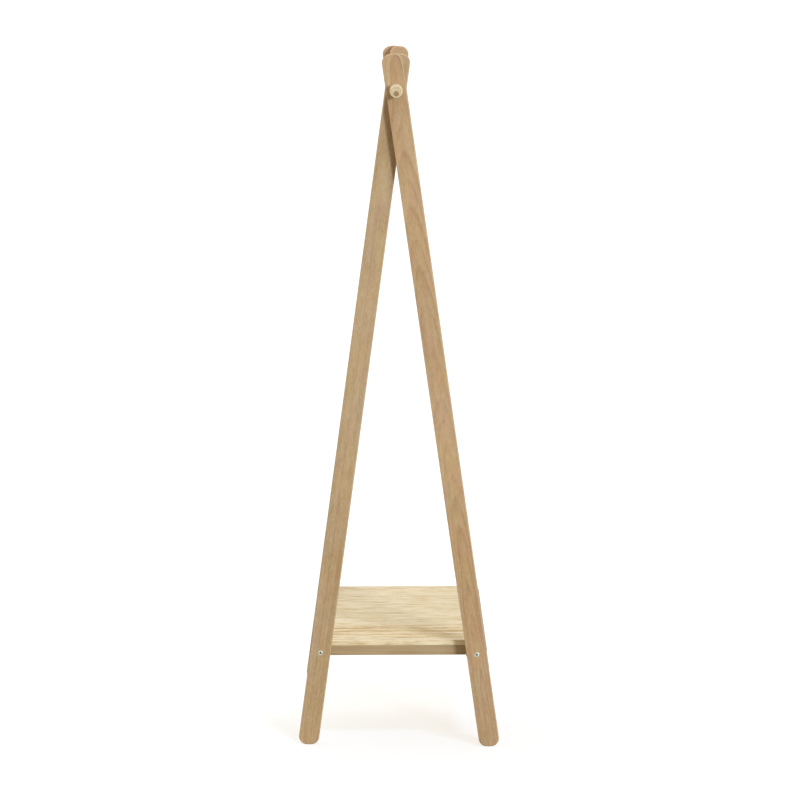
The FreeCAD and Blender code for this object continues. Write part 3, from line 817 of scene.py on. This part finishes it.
# %% One bolt
SURFACE = -0.01
HEAD_RADIUS = 6.0
HEAD_HEIGHT = 3.3
SHANK_RADIUS = 3.0
bolt_length = (pivot_high.x - pivot_low.x) / MM
SOCKET_PROFILE = ((SOCKET_RADIUS + 0.3, 0.0), (SOCKET_RADIUS, -0.3), (SOCKET_RADIUS, -2.4))
BOLT_PROFILE = ((HEAD_RADIUS - 0.6, 0.0), (HEAD_RADIUS - 0.2, -0.12), (HEAD_RADIUS, -0.47),
                (SHANK_RADIUS, -HEAD_HEIGHT), (SHANK_RADIUS, 0.8 - bolt_length),
                (SHANK_RADIUS * 0.75, -bolt_length))


def draw_out(profile):
    """Pulls the selected edges through the rings of a profile, from the first one on."""
    for (radius, height), (next_radius, next_height) in zip(profile, profile[1:]):
        rise = (next_height - height) * MM
        scale = next_radius / radius
        bpy.ops.mesh.extrude_edges_move(TRANSFORM_OT_translate={"value": (0, 0, rise)})
        bpy.ops.transform.resize(value=(scale, scale, 1), center_override=(0, 0, 0))


def close_up():
    """Closes the last ring, and turns all faces outwards."""
    bpy.ops.mesh.edge_face_add()
    bpy.ops.mesh.select_all(action="SELECT")
    bpy.ops.mesh.normals_make_consistent(inside=False)
    bpy.ops.object.mode_set(mode="OBJECT")


bpy.ops.object.select_all(action="DESELECT")
bpy.ops.mesh.primitive_circle_add(vertices=6, radius=SOCKET_PROFILE[0][0] * MM)
bolt = bpy.context.object
bpy.ops.object.mode_set(mode="EDIT")
bpy.ops.mesh.subdivide(number_cuts=3)
draw_out(SOCKET_PROFILE)
bpy.ops.mesh.edge_face_add()
bpy.ops.mesh.primitive_circle_add(vertices=24, radius=BOLT_PROFILE[0][0] * MM)
pick(lambda point: point.z > SURFACE)
bpy.ops.mesh.bridge_edge_loops()
pick(lambda point: point.z > SURFACE and point.xy.length > HEAD_RADIUS - 1)
draw_out(BOLT_PROFILE)
close_up()
print("bolt", [round(side / MM, 1) for side in bolt.dimensions], "mm,", len(bolt.data.polygons), "faces")

# %% Four bolts
BOLTS = {"shelf_pivot_bolt_right": ("shelf", 1), "shelf_pivot_bolt_left": ("shelf", -1),
         "rest_bar_bolt_right": ("inner_frame", 1), "rest_bar_bolt_left": ("inner_frame", -1)}
for number, (node, (body, sign)) in enumerate(BOLTS.items()):
    low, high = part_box(node)
    spare = bolt_length - (high.x - low.x) / MM
    copy = copy_of(bolt)
    bpy.ops.object.mode_set(mode="EDIT")
    pick(lambda point: point.z < -HEAD_HEIGHT - 1)
    bpy.ops.transform.translate(value=(0, 0, spare * MM))
    bpy.ops.object.mode_set(mode="OBJECT")
    copy.location = (high.x if sign > 0 else low.x, (low.y + high.y) / 2, (low.z + high.z) / 2)
    copy.rotation_euler = (0, sign * math.pi / 2, 0)
    made = settle("socket_bolt_" + str(number + 1), bolt_steel)
    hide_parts(node)
    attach(made, body)
    print(made.name, "stands for", node)
bpy.data.objects.remove(bolt)

# %% [markdown]
# ## Slat screws
# Each slat is held by a countersunk screw at either end, thirty eight in all. They are alike, so one is
# modelled and copied, and each copy is turned by another angle, as a screwdriver leaves them. The cross in
# the head is a small square whose four sides are pulled out, and then all five faces are pushed down and
# drawn together.

# %% One screw
CROSS_WIDTH = 0.9
CROSS_ARM = 1.2
CROSS_DEPTH = 1.4
CROSS_TAPER = 0.6
SCREW_RADIUS = 3.75
SCREW_PROFILE = ((SCREW_RADIUS - 0.25, 0.0), (SCREW_RADIUS, -0.2), (2.0, -2.2), (1.8, -16.2),
                 (0.18, -22.0))


def pick_side(across, beside):
    """Selects the side of the small square that faces that way."""
    pick(lambda point: abs(point.x * across + point.y * beside - CROSS_WIDTH / 2) < 0.01
         and point.xy.length < CROSS_WIDTH)


bpy.ops.object.select_all(action="DESELECT")
bpy.ops.mesh.primitive_plane_add(size=CROSS_WIDTH * MM)
screw = bpy.context.object
bpy.ops.object.mode_set(mode="EDIT")
for across, beside in ((1, 0), (-1, 0), (0, 1), (0, -1)):
    pick_side(across, beside)
    arm = (across * CROSS_ARM * MM, beside * CROSS_ARM * MM, 0)
    bpy.ops.mesh.extrude_edges_move(TRANSFORM_OT_translate={"value": arm})
bpy.ops.mesh.select_all(action="SELECT")
bpy.ops.mesh.extrude_region_move(TRANSFORM_OT_translate={"value": (0, 0, -CROSS_DEPTH * MM)})
bpy.ops.transform.resize(value=(CROSS_TAPER, CROSS_TAPER, 1), center_override=(0, 0, 0))
bpy.ops.mesh.primitive_circle_add(vertices=24, radius=SCREW_PROFILE[0][0] * MM)
pick(lambda point: point.z > SURFACE)
bpy.ops.mesh.bridge_edge_loops()
pick(lambda point: point.z > SURFACE and point.xy.length > SCREW_RADIUS - 1)
draw_out(SCREW_PROFILE)
close_up()
print("screw", [round(side / MM, 1) for side in screw.dimensions], "mm,", len(screw.data.polygons), "faces")

# %% All screws
TURNS_SEED = 7
turns = random.Random(TURNS_SEED)
screw_low, screw_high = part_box("slat_screws")
screw_rows = (screw_low.y + SCREW_RADIUS * MM, screw_high.y - SCREW_RADIUS * MM)
copies = []
for name in slat_names:
    low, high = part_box(name)
    for aside in screw_rows:
        copy = copy_of(screw)
        copy.location = ((low.x + high.x) / 2, aside, screw_high.z)
        copy.rotation_euler = (0, 0, turns.uniform(0, math.pi))
        copies.append(copy)
bpy.ops.object.select_all(action="DESELECT")
for copy in copies:
    copy.select_set(True)
bpy.context.view_layer.objects.active = copies[0]
bpy.ops.object.transform_apply(location=True, rotation=True, scale=True)
bpy.ops.object.join()
screws = settle("cross_head_screws", screw_steel)
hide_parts("slat_screws")
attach(screws, "shelf")
bpy.data.objects.remove(screw)
print(len(copies), "screws,", len(screws.data.polygons), "faces")
